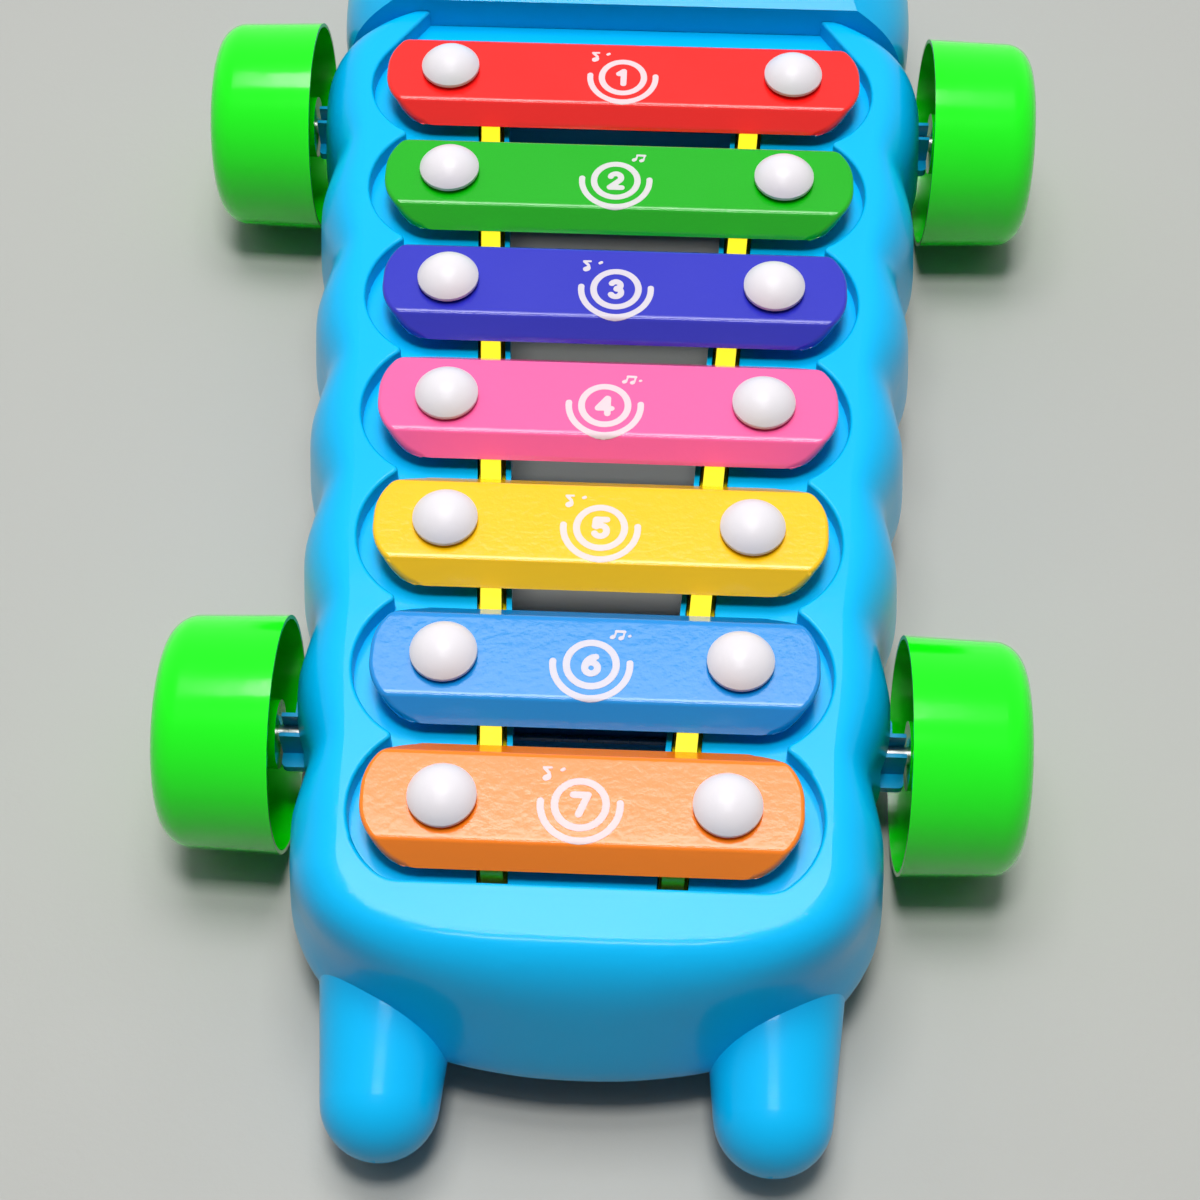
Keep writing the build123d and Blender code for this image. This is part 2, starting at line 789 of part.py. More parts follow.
def head_block(inset, bottom_z, rear_y):
    wires = []
    top_z = head_crown_height - inset
    front_reach = head_length * (1 - head_centre_share)
    rear_reach = head_length * head_rear_share
    for height, width, reach in head_level_shares:
        z = bottom_z + (top_z - bottom_z) * height
        wide = head_half_width * width - inset
        forward = front_reach * reach - inset
        backward = rear_reach * (1 + width) / 2 - inset
        wires.append(head_wire(z, wide, forward, backward, rear_y))
    return Part() + Solid.make_loft(wires)


def above_nape(drop):
    """The space above the sloping nape, lowered by drop."""
    plane = Pos(0, neck_y, nape_height - drop) * Rot(X=nape_slope)
    return plane * block((-nose_reach, -nose_reach, 0), (nose_reach, nose_reach, nose_reach))


def make_head_shell():
    rear_y = neck_y + seam_gap
    head = head_block(0.0, skirt_height, rear_y) - above_nape(0.0)
    ear = scale(Sphere(ear_radius), (1, ear_thickness / ear_radius / 2, 1))
    ear = Pos(*on_head(ear_place_shares)) * Rot(Y=ear_tilt) * ear
    head += both_sides(ear)
    hollow = head_block(wall, skirt_height, rear_y + wall) - above_nape(wall)
    hollow -= both_sides(ear)
    head -= hollow
    head += both_sides(head_boss())
    head -= both_sides(head_boss_hole())
    lug_low = lug_height - lug_thickness / 2
    lug_high = lug_height + lug_thickness / 2
    front_y = neck_y + head_length
    hole_y = front_y + lug_hole_reach
    lug = block((-lug_half_width, front_y - wall, lug_low), (lug_half_width, hole_y, lug_high))
    lug += column(0, hole_y, lug_low, lug_high, lug_half_width)
    head += lug
    head -= column(0, hole_y, lug_low - overrun, lug_high + overrun, lug_hole_radius)
    socket = Pos(*on_head(eye_place_shares)) * Sphere(eye_radius + eye_gap)
    return head - both_sides(socket)


def head_boss():
    long = screw_length
    place = Pos(head_screw_spread, neck_y + seam_gap + long / 2, head_screw_height) * Rot(X=90)
    return place * Cylinder(boss_radius, long)


def head_boss_hole():
    place = Pos(head_screw_spread, neck_y, head_screw_height) * Rot(X=90)
    return place * Cylinder(screw_radius + press_gap, screw_length * 2)


def make_eye():
    return Pos(*on_head(eye_place_shares)) * Sphere(eye_radius)


write("body_shell", make_body_shell())
write("head_shell", make_head_shell())
for index in range(bar_count):
    write(f"bar_{index + 1}", make_bar(index))
    write(f"bar_{index + 1}_nails", make_nails(index))
right_rail = make_rail()
write("right_rail", right_rail)
write("left_rail", mirror(right_rail, about=Plane.YZ))
for end, (axle_y, gap, inward, fin_reach) in axle_places.items():
    right_wheel = make_wheel(axle_y, gap)
    write(f"{end}_right_wheel", right_wheel)
    write(f"{end}_left_wheel", mirror(right_wheel, about=Plane.YZ))
    write(f"{end}_axle", make_axle(axle_y, gap))
    write(f"{end}_axle_carrier", make_carrier(axle_y, gap, inward, fin_reach))
    write(f"{end}_carrier_screws", make_carrier_screws(axle_y, inward))
write("head_screws", make_head_screws())
right_eye = make_eye()
write("right_eye", right_eye)
write("left_eye", mirror(right_eye, about=Plane.YZ))
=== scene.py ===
# %% [markdown]
# # A pull-along xylophone
# The toy is a moulded blue body on four green wheels. Seven folded metal bars lie over two
# yellow rails in a tray, and each bar is held by a pair of white dome-headed nails.
# The construction comes in as a fixed frame of solids. This notebook gives it its finish:
# lacquer, moulded plastic, steel and print, then light and a camera.

# %% Load the frame
import bmesh
import bpy
import math
from mathutils import Matrix, Vector


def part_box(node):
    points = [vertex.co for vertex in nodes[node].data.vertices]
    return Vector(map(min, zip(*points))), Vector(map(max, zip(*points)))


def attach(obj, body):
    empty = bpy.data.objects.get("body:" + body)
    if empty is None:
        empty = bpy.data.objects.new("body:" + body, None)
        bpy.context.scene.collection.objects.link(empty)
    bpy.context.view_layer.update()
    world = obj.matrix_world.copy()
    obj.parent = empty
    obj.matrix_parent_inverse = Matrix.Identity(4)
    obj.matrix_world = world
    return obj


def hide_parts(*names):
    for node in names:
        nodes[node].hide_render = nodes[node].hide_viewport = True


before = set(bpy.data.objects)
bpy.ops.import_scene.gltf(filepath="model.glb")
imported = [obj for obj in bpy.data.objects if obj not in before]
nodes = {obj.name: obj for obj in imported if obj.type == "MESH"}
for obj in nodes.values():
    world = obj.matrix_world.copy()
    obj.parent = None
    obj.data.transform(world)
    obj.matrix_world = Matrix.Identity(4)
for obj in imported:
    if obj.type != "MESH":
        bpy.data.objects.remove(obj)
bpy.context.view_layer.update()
MM = 0.001

# %% [markdown]
# ## Camera
# A toy catalogue would use a straight front view. This picture is taken from above the tail,
# as a child kneeling behind the toy sees it, so the camera stands behind the tail, looks down
# steeply, and is turned a little to one side. A rotation built from three turns in the order
# roll, pitch, yaw is easier to trust than one set of mixed angles.
#
# In Blender, a camera, lamp or mesh is only data until an object holds it and is linked to the
# scene. A helper does both.

# %% Helper for new objects
def place_in_scene(name, data):
    """An object that holds a mesh, a lamp or a camera, linked to the scene."""
    placed = bpy.data.objects.new(name, data)
    bpy.context.scene.collection.objects.link(placed)
    return placed


print("placing helper ready")

# %% Camera
camera_place = Vector((10.66, -261.57, 365.84)) * MM
camera_yaw = 0.0503
camera_pitch = 0.5487
camera_roll = -0.0097
photo_width_px = 1200
focal_px = 2269.06
sensor_mm = 36.0

camera_data = bpy.data.cameras.new("view_from_tail")
camera_data.sensor_fit = "HORIZONTAL"
camera_data.sensor_width = sensor_mm
camera_data.lens = focal_px / photo_width_px * sensor_mm
camera_data.clip_start = 0.01
camera = place_in_scene("view_from_tail", camera_data)
turn = Matrix.Rotation(camera_yaw, 4, "Z") @ Matrix.Rotation(camera_pitch, 4, "X")
turn = turn @ Matrix.Rotation(camera_roll, 4, "Z")
camera.matrix_world = Matrix.Translation(camera_place) @ turn
bpy.context.scene.camera = camera
print("lens:", round(camera_data.lens, 2), "mm")

# %% [markdown]
# ## Helpers for node trees
# Every finish below is a small network of shader nodes. Adding a node, joining two sockets and
# writing down a colour are the things done again and again, so each gets a short helper.

# %% Node helpers
def add(tree, kind, operation=None, **values):
    """Adds a shader node and sets its operation and its input sockets by name."""
    node = tree.nodes.new(kind)
    if operation:
        node.operation = operation
    for name, value in values.items():
        node.inputs[name.replace("_", " ")].default_value = value
    return node


def join(tree, source, socket, target, into):
    tree.links.new(source.outputs[socket], target.inputs[into])


def srgb(red, green, blue):
    """A paint card's colour, with values from 0 to 255, as the linear colour of a shader."""
    def straight(value):
        share = value / 255
        return share / 12.92 if share <= 0.04045 else ((share + 0.055) / 1.055) ** 2.4
    return (straight(red), straight(green), straight(blue), 1.0)


print("helpers ready")

# %% [markdown]
# ## Shared effects
# A new toy is clean, but no surface is perfect. Three effects are used by more than one finish,
# so each is a node group with its own inputs:
# * `ripple` - the slow waves that lacquer and moulded plastic keep when they set
# * `scuffs` - faint patches and fine scratches where hands have polished or dulled the gloss
# * `shade_drift` - a slight drift of the colour, as pigment never mixes evenly

# %% Group maker
def new_group(name, inputs, outputs):
    """A node group with float inputs (name and default) and outputs (name and kind)."""
    group = bpy.data.node_groups.new(name, "ShaderNodeTree")
    for title, value in inputs:
        socket = group.interface.new_socket(title, in_out="INPUT", socket_type="NodeSocketFloat")
        socket.default_value = value
    for title, kind in outputs:
        group.interface.new_socket(title, in_out="OUTPUT", socket_type=kind)
    start = group.nodes.new("NodeGroupInput")
    end = group.nodes.new("NodeGroupOutput")
    return group, start, end


print("group maker ready")

# %% Ripple
times_finer = 3.7
ripple, ripple_in, ripple_out = new_group(
    "ripple",
    [("Size", 600.0), ("Fine Share", 0.25)],
    [("Height", "NodeSocketFloat")],
)
place = add(ripple, "ShaderNodeTexCoord")
broad = add(ripple, "ShaderNodeTexNoise", Detail=2.0, Roughness=0.5)
fine = add(ripple, "ShaderNodeTexNoise", Detail=3.0, Roughness=0.6)
fine_size = add(ripple, "ShaderNodeMath", "MULTIPLY")
fine_size.inputs[1].default_value = times_finer
blend = add(ripple, "ShaderNodeMix")
join(ripple, place, "Object", broad, "Vector")
join(ripple, place, "Object", fine, "Vector")
join(ripple, ripple_in, "Size", broad, "Scale")
join(ripple, ripple_in, "Size", fine_size, 0)
join(ripple, fine_size, 0, fine, "Scale")
join(ripple, ripple_in, "Fine Share", blend, "Factor")
join(ripple, broad, 0, blend, "A")
join(ripple, fine, 0, blend, "B")
join(ripple, blend, 0, ripple_out, "Height")
print("ripple has", len(ripple.nodes), "nodes")

# %% Scuffs
scratch_stretch = (0.12, 1.0, 0.6)
scratch_turn = (0.3, 0.2, 0.5)
scuffs, scuffs_in, scuffs_out = new_group(
    "scuffs",
    [("Patch Size", 45.0), ("Scratch Size", 900.0), ("Low", 0.2), ("High", 0.35)],
    [("Roughness", "NodeSocketFloat")],
)
place = add(scuffs, "ShaderNodeTexCoord")
patches = add(scuffs, "ShaderNodeTexNoise", Detail=4.0, Roughness=0.55)
stretched = add(scuffs, "ShaderNodeMapping", Scale=scratch_stretch, Rotation=scratch_turn)
scratches = add(scuffs, "ShaderNodeTexNoise", Detail=2.0, Roughness=0.7)
thin = add(scuffs, "ShaderNodeMapRange", From_Min=0.66, From_Max=0.78, To_Max=0.60)
both = add(scuffs, "ShaderNodeMath", "MAXIMUM")
spread = add(scuffs, "ShaderNodeMapRange", From_Min=0.35, From_Max=0.75)
join(scuffs, place, "Object", patches, "Vector")
join(scuffs, place, "Object", stretched, "Vector")
join(scuffs, stretched, "Vector", scratches, "Vector")
join(scuffs, scuffs_in, "Patch Size", patches, "Scale")
join(scuffs, scuffs_in, "Scratch Size", scratches, "Scale")
join(scuffs, scratches, 0, thin, "Value")
join(scuffs, patches, 0, both, 0)
join(scuffs, thin, "Result", both, 1)
join(scuffs, both, 0, spread, "Value")
join(scuffs, scuffs_in, "Low", spread, "To Min")
join(scuffs, scuffs_in, "High", spread, "To Max")
join(scuffs, spread, "Result", scuffs_out, "Roughness")
print("scuffs has", len(scuffs.nodes), "nodes")

# %% Shade drift
shade_drift, drift_in, drift_out = new_group(
    "shade_drift",
    [("Size", 30.0), ("Amount", 0.06)],
    [("Color", "NodeSocketColor")],
)
shade_drift.interface.new_socket("Color", in_out="INPUT", socket_type="NodeSocketColor")
place = add(shade_drift, "ShaderNodeTexCoord")
cloud = add(shade_drift, "ShaderNodeTexNoise", Detail=3.0, Roughness=0.5)
level = add(shade_drift, "ShaderNodeMath", "SUBTRACT")
level.inputs[1].default_value = 0.5
swing = add(shade_drift, "ShaderNodeMath", "MULTIPLY_ADD")
swing.inputs[2].default_value = 1.0
tone = add(shade_drift, "ShaderNodeHueSaturation")
join(shade_drift, place, "Object", cloud, "Vector")
join(shade_drift, drift_in, "Size", cloud, "Scale")
join(shade_drift, cloud, 0, level, 0)
join(shade_drift, level, 0, swing, 0)
join(shade_drift, drift_in, "Amount", swing, 1)
join(shade_drift, swing, 0, tone, "Value")
join(shade_drift, drift_in, "Color", tone, "Color")
join(shade_drift, tone, "Color", drift_out, "Color")
print("shade_drift has", len(shade_drift.nodes), "nodes")

# %% [markdown]
# ## One recipe for coloured surfaces
# Lacquer and moulded plastic differ in gloss, ripple and coat, but share their wiring: the
# colour drifts, the gloss has scuffs, and a bump carries the ripple. One function wires them,
# and each finish calls it with its own numbers. A roughness that varies over the surface is
# linked. One that is the same everywhere is set on the shader's own socket.

# %% Coloured surface
def place_group(tree, group, **values):
    """Places a node group in a material, with this finish's own values."""
    node = tree.nodes.new("ShaderNodeGroup")
    node.node_tree = group
    for name, value in values.items():
        node.inputs[name.replace("_", " ")].default_value = value
    return node


def new_material(name):
    """A material, its node tree and the shader that a new material starts with."""
    material = bpy.data.materials.new(name)
    material.use_nodes = True
    tree = material.node_tree
    return material, tree, tree.nodes["Principled BSDF"]


def coloured(name, colour, low, high, ripple_size, ripple_depth, coat=0.0, coat_roughness=0.03,
             drift=0.06, specular=0.5):
    """A glossy or satin coloured material. low and high are its least and greatest roughness."""
    material, tree, shader = new_material(name)
    shader.inputs["Coat Weight"].default_value = coat
    shader.inputs["Coat Roughness"].default_value = coat_roughness
    shader.inputs["Specular IOR Level"].default_value = specular
    tint = place_group(tree, shade_drift, Amount=drift, Color=colour)
    gloss = place_group(tree, scuffs, Low=low, High=high)
    waves = place_group(tree, ripple, Size=ripple_size)
    bump = add(tree, "ShaderNodeBump", Strength=1.0, Distance=ripple_depth)
    join(tree, tint, "Color", shader, "Base Color")
    join(tree, gloss, "Roughness", shader, "Roughness")
    join(tree, waves, "Height", bump, "Height")
    join(tree, bump, "Normal", shader, "Normal")
    if coat > 0:
        join(tree, bump, "Normal", shader, "Coat Normal")
    print("material", name)
    return material


# %% [markdown]
# ## Moulded plastics
# The body, head, carriers, wheels, rails and nail heads are all injection moulded. A flat colour
# with one roughness would do from far off. Close up, the mould's slow waves and the touch of
# hands show in the gloss, so each plastic gets its own ripple and its own range of roughness.
# The body has a bright, slightly soft gloss. The wheels are glossier, and the nail heads are
# satin and off-white.

# %% Plastics
shell_blue = coloured(
    "shell_blue", srgb(0, 184, 244), low=0.30, high=0.40, ripple_size=160.0,
    ripple_depth=0.05 * MM, coat=0.32, coat_roughness=0.12, specular=0.10,
)
carrier_blue = coloured(
    "carrier_blue", srgb(0, 150, 205), low=0.28, high=0.42, ripple_size=220.0,
    ripple_depth=0.10 * MM, specular=0.3,
)
wheel_green = coloured(
    "wheel_green", srgb(0, 246, 0), low=0.16, high=0.26, ripple_size=120.0,
    ripple_depth=0.05 * MM, coat=0.6, coat_roughness=0.09, specular=0.25,
)
rail_yellow = coloured(
    "rail_yellow", srgb(255, 226, 0), low=0.38, high=0.52, ripple_size=300.0,
    ripple_depth=0.10 * MM, specular=0.3,
)
nail_white = coloured(
    "nail_white", srgb(226, 221, 225), low=0.30, high=0.42, ripple_size=400.0,
    ripple_depth=0.05 * MM, specular=0.4,
)
eye_black = coloured(
    "eye_black", srgb(14, 14, 16), low=0.05, high=0.10, ripple_size=300.0,
    ripple_depth=0.01 * MM, coat=0.5,
)

# %% [markdown]
# ## Lacquer on the bars
# Each bar is steel sheet with stoved lacquer. A single glossy layer could carry the colour, but
# the real finish is soft below and mirror-like above. So the colour is a satin base, and a clear
# coat lies over it. The coat sets with a slight orange peel: waves of about 1.5 mm that make a
# window's reflection look wrinkled.

# %% Lacquers
bar_colours = [
    ("bar_red", srgb(250, 24, 20)),
    ("bar_green", srgb(0, 172, 0)),
    ("bar_indigo", srgb(40, 44, 184)),
    ("bar_pink", srgb(252, 96, 160)),
    ("bar_yellow", srgb(250, 195, 0)),
    ("bar_sky", srgb(0, 136, 214)),
    ("bar_orange", srgb(250, 126, 4)),
]
lacquers = [
    coloured(name, colour, low=0.30, high=0.42, ripple_size=650.0, ripple_depth=0.05 * MM,
             coat=0.9, coat_roughness=0.05, drift=0.04, specular=0.2)
    for name, colour in bar_colours
]

# %% [markdown]
# ## Steel
# The axles are drawn rod and the screws are zinc plated. Both are bare metal, so the colour is
# in the reflection. A picture of brushed metal could be wrapped round the rod, but it would have
# to be unwrapped first. Noise that is stretched along one axis gives the same fine lines.

# %% Steel
def steel(name, colour, stretch, low, high):
    """Bare metal with fine lines. stretch gives how often they come along X, Y and Z."""
    material, tree, shader = new_material(name)
    shader.inputs["Metallic"].default_value = 1.0
    place = add(tree, "ShaderNodeTexCoord")
    sized = add(tree, "ShaderNodeMapping", Scale=stretch)
    lines = add(tree, "ShaderNodeTexNoise", Scale=1.0, Detail=3.0)
    tone = place_group(tree, shade_drift, Amount=0.15, Color=colour)
    spread = add(tree, "ShaderNodeMapRange", To_Min=low, To_Max=high)
    bump = add(tree, "ShaderNodeBump", Strength=0.6, Distance=0.02 * MM)
    join(tree, place, "Object", sized, "Vector")
    join(tree, sized, "Vector", lines, "Vector")
    join(tree, lines, 0, spread, "Value")
    join(tree, spread, "Result", shader, "Roughness")
    join(tree, lines, 0, bump, "Height")
    join(tree, bump, "Normal", shader, "Normal")
    join(tree, tone, "Color", shader, "Base Color")
    print("material", name)
    return material


axle_steel = steel(
    "axle_steel", srgb(186, 187, 190), stretch=(4000.0, 300.0, 300.0), low=0.22, high=0.38,
)
screw_steel = steel(
    "screw_steel", srgb(176, 177, 182), stretch=(1500.0, 1500.0, 300.0), low=0.28, high=0.45,
)

# %% [markdown]
# ## Dress the solids
# The body, head, wheels, carriers, axles, rails, nails and screws already have the shape of the
# real pieces. They could be copied and modelled again, but a copy could drift from the frame, so
# each solid stays and only its mesh gets a material. The bars get theirs here too, and a softer
# mesh in the next step.

# %% Dress the solids
def dress(mesh, material):
    """Gives a mesh one material in place of what it had."""
    mesh.materials.clear()
    mesh.materials.append(material)


def dress_node(node_name, material):
    dress(nodes[node_name].data, material)


dress_node("body_shell", shell_blue)
dress_node("head_shell", shell_blue)
for side in ("right", "left"):
    dress_node(f"{side}_rail", rail_yellow)
    dress_node(f"{side}_eye", eye_black)
for end in ("front", "rear"):
    dress_node(f"{end}_axle", axle_steel)
    dress_node(f"{end}_axle_carrier", carrier_blue)
    dress_node(f"{end}_carrier_screws", screw_steel)
    for side in ("right", "left"):
        dress_node(f"{end}_{side}_wheel", wheel_green)
dress_node("head_screws", screw_steel)
bar_numbers = range(1, len(lacquers) + 1)
for number in bar_numbers:
    dress_node(f"bar_{number}_nails", nail_white)
    dress_node(f"bar_{number}", lacquers[number - 1])
print("dressed", len(nodes), "nodes")

# %% [markdown]
# ## Bars with soft edges
# The ends of a real bar aren't sharp, and light catches a thin bright line there. A bevel in the
# material would only fake that line, so each bar gets its own mesh. It is a copy of the solid's
# mesh, cleaned to large flat faces, with a bevel cut on the sharp edges round its two ends. The
# folds are round already, and the long lower rims stay as sharp as they are in the picture. The
# shading then follows the large faces, so that the flats stay flat.

# %% Helper for modifiers
def apply_modifiers(piece):
    """Replaces a piece's mesh by what its modifiers make of it."""
    graph = bpy.context.evaluated_depsgraph_get()
    made = bpy.data.meshes.new_from_object(piece.evaluated_get(graph))
    piece.modifiers.clear()
    piece.data = made
    made.name = piece.name


print("modifier helper ready")

# %% Edges to round
upward_slope = 0.3
lengthwise_share = 0.97
sharp_limit = math.radians(32)


def is_rounded(edge):
    """True for a sharp edge that faces upward and doesn't run along the bar."""
    if len(edge.link_faces) != 2 or edge.calc_face_angle() <= sharp_limit:
        return False
    if max(face.normal.z for face in edge.link_faces) <= upward_slope:
        return False
    heading = (edge.verts[1].co - edge.verts[0].co).normalized()
    return abs(heading.x) < lengthwise_share


print("an edge counts as sharp from", round(math.degrees(sharp_limit)), "degrees")

# %% Soft edges
edge_round = 0.70 * MM
edge_steps = 4
flat_limit = math.radians(0.6)
weld_distance = 0.001 * MM


def soft_edged(name, node_name):
    """A copy of a solid's mesh with the upper edges of its two ends rounded."""
    mesh = bpy.data.meshes.new(name)
    work = bmesh.new()
    work.from_mesh(nodes[node_name].data)
    bmesh.ops.remove_doubles(work, verts=work.verts, dist=weld_distance)
    bmesh.ops.dissolve_limit(work, angle_limit=flat_limit, verts=work.verts, edges=work.edges)
    work.normal_update()
    rounded = [edge for edge in work.edges if is_rounded(edge)]
    bmesh.ops.bevel(work, geom=rounded, offset=edge_round, offset_type="OFFSET", affect="EDGES",
                    segments=edge_steps, profile=0.5, clamp_overlap=False)
    for face in work.faces:
        face.smooth = True
    work.to_mesh(mesh)
    work.free()
    piece = place_in_scene(name, mesh)
    piece.modifiers.new("even_shading", "WEIGHTED_NORMAL").keep_sharp = True
    apply_modifiers(piece)
    return piece


print("ends are rounded by", edge_round / MM, "mm")

# %% Seven lacquered bars
plates = {}
for number in bar_numbers:
    node_name = f"bar_{number}"
    plate = soft_edged(f"{node_name}_lacquered", node_name)
    plates[number] = plate
    dress(plate.data, lacquers[number - 1])
    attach(plate, f"bar_{number}_plate")
    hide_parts(node_name)
    low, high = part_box(node_name)
    across = [corner.co.x for corner in plate.data.vertices]
    past = max(max(across) - high[0], low[0] - min(across))
    print(plate.name, len(plate.data.polygons), "faces, past its box:", round(past / MM, 3), "mm")

# %% [markdown]
# ## The printed numbers
# Screen printing leaves a thin white layer on the lacquer: a number in a ring, an arc under it
# and a small music note. A picture could be laid over the bar, but then the print would be only
# as sharp as its pixels. Here the ink is real: each mark is a stroke of a round pen, and the
# distance to the nearest stroke says where ink lies. All lengths in this part are millimetres
# from the centre of the ring.

# %% Pen strokes
import numpy as np


def line_reach(x, y, start, end, half):
    """Distance from each place to a straight stroke's edge, below zero inside it."""
    run = (end[0] - start[0], end[1] - start[1])
    long = run[0] ** 2 + run[1] ** 2
    share = np.clip(((x - start[0]) * run[0] + (y - start[1]) * run[1]) / max(long, 1e-9), 0, 1)
    return np.hypot(x - start[0] - share * run[0], y - start[1] - share * run[1]) - half


def arc_reach(x, y, middle, radius, first, last, half):
    """The same for a round stroke that runs from one angle to a larger one, in degrees."""
    turn = (np.degrees(np.arctan2(y - middle[1], x - middle[0])) - first) % 360
    on_arc = np.abs(np.hypot(x - middle[0], y - middle[1]) - radius)
    ends = []
    for degrees in (first, last):
        end_x = middle[0] + radius * math.cos(math.radians(degrees))
        end_y = middle[1] + radius * math.sin(math.radians(degrees))
        ends.append(np.hypot(x - end_x, y - end_y))
    return np.where(turn <= last - first, on_arc, np.minimum(*ends)) - half


def ink_reach(x, y, strokes):
    """Distance to the nearest of many strokes."""
    reach = np.full(x.shape, np.inf)
    for stroke in strokes:
        rule = arc_reach if len(stroke) == 5 else line_reach
        reach = np.minimum(reach, rule(x, y, *stroke))
    return reach


print("two kinds of stroke")

# %% [markdown]
# The numbers are drawn with one bold pen, and two strokes of the 4 with a lighter one. A stroke
# with three values is a line (start, end, half width), and one with five is an arc (centre,
# radius, first angle, last angle, half width). The ring and the arc are the same on each bar.

# %% Numbers and notes
pen = 0.58
light_pen = 0.9 * pen
number_strokes = {
    1: [((-0.75, 0.90), (0.10, 1.62), pen), ((0.15, 1.65), (0.15, -1.70), pen)],
    2: [
        ((0.0, 0.72), 0.98, -40, 165, pen),
        ((0.75, 0.09), (-1.05, -1.60), pen),
        ((-1.05, -1.68), (1.15, -1.68), pen),
    ],
    3: [((-0.05, 0.86), 0.84, -80, 150, pen), ((-0.02, -0.76), 0.96, -150, 80, pen)],
    4: [
        ((0.42, 1.60), (-1.20, -0.55), light_pen),
        ((-1.20, -0.62), (1.22, -0.62), light_pen),
        ((0.50, 1.50), (0.50, -1.72), pen),
    ],
    5: [
        ((-0.72, 1.66), (1.00, 1.66), pen),
        ((-0.80, 1.60), (-0.92, 0.30), pen),
        ((-0.04, -0.62), 1.08, -150, 130, pen),
    ],
    6: [((0.0, -0.66), 1.04, 0, 360, pen), ((0.90, -0.50), 1.94, 97, 180, pen)],
    7: [((-1.15, 1.68), (1.15, 1.68), pen), ((1.12, 1.62), (-0.20, -1.70), pen)],
}
ring_strokes = [((0.0, 0.0), 4.05, 0, 360, 0.60), ((0.0, 0.0), 6.28, 176, 364, 0.57)]
single_note = [
    ((-6.02, 6.28), (-4.82, 6.30), 0.22),
    ((-5.95, 6.22), (-5.18, 5.40), 0.27),
    ((-5.18, 5.40), (-5.02, 4.70), 0.27),
    ((-5.62, 4.46), (-5.36, 4.58), 0.54),
    ((-3.12, 5.94), (-2.84, 6.10), 0.30),
]
paired_notes = [
    ((3.18, 5.22), (3.36, 5.32), 0.38),
    ((4.58, 5.08), (4.76, 5.18), 0.38),
    ((3.58, 5.30), (3.84, 6.42), 0.16),
    ((4.98, 5.18), (5.24, 6.38), 0.16),
    ((3.84, 6.40), (5.24, 6.36), 0.25),
]
stray_dot = [((5.98, 5.52), (6.14, 5.60), 0.24)]
print("numbers:", *number_strokes)

# %% [markdown]
# To turn ink into faces, the strokes are looked at on a fine grid. A cell with all four corners
# in ink becomes a square. At the rim, the edge of the face is put where the distance is zero,
# so the outline is smooth although the grid is coarse. Each point is then dropped onto the bar
# from above, so that the arc bends over the fold as the real ink does. The layer reaches a little
# into the lacquer, so that no gap shows under its rim.

# %% Faces of the ink
grid_step = 0.14
print_half = 7.4


def ink_faces(strokes):
    """Plan points and faces of the inked area, by walking the cells of a grid."""
    marks = np.arange(-print_half, print_half + grid_step, grid_step)
    x, y = np.meshgrid(marks, marks, indexing="ij")
    reach = ink_reach(x, y, strokes)
    points = []
    known = {}

    def point(key, where):
        if key not in known:
            known[key] = len(points)
            points.append(where)
        return known[key]

    faces = []
    nearest = np.minimum.reduce([reach[:-1, :-1], reach[1:, :-1], reach[:-1, 1:], reach[1:, 1:]])
    for i, j in np.argwhere(nearest < 0):
        corners = [(i, j), (i + 1, j), (i + 1, j + 1), (i, j + 1)]
        face = []
        for here, there in zip(corners, corners[1:] + corners[:1]):
            if reach[here] < 0:
                face.append(point(here, (x[here], y[here])))
            if (reach[here] < 0) != (reach[there] < 0):
                share = reach[here] / (reach[here] - reach[there])
                edge = (min(here, there), max(here, there))
                rim_x = x[here] + share * (x[there] - x[here])
                rim_y = y[here] + share * (y[there] - y[here])
                face.append(point(edge, (rim_x, rim_y)))
        faces.append(face)
    return points, faces


print("grid of", grid_step, "mm")

# %% Ink layer on a bar
from mathutils.bvhtree import BVHTree

ink_thickness = 0.035 * MM
ink_sunk_share = 1.2


def print_on(name, strokes, plate, middle):
    """A thin layer of ink on a bar, with its ring's centre at middle (metres)."""
    points, faces = ink_faces(strokes)
    corners = [corner.co for corner in plate.data.vertices]
    surface = BVHTree.FromPolygons(corners, [face.vertices for face in plate.data.polygons])
    above = max(corner.z for corner in corners) + ink_thickness
    placed = []
    for x, y in points:
        start = Vector((middle[0] + x * MM, middle[1] + y * MM, above))
        hit, normal, _, _ = surface.ray_cast(start, (0, 0, -1))
        placed.append(hit + normal * ink_thickness)
    mesh = bpy.data.meshes.new(name)
    mesh.from_pydata(placed, [], faces)
    mesh.shade_smooth()
    layer = place_in_scene(name, mesh)
    thick = layer.modifiers.new("thick", "SOLIDIFY")
    thick.thickness = ink_thickness * ink_sunk_share
    thick.offset = -1.0
    apply_modifiers(layer)
    return layer


print("ink layers are", ink_thickness / MM, "mm thick")

# %% [markdown]
# The ink is a thin white that lets a little of the lacquer through. A hand-fed press never places
# two prints alike, so each has its own small shift from the middle of its bar, in millimetres.

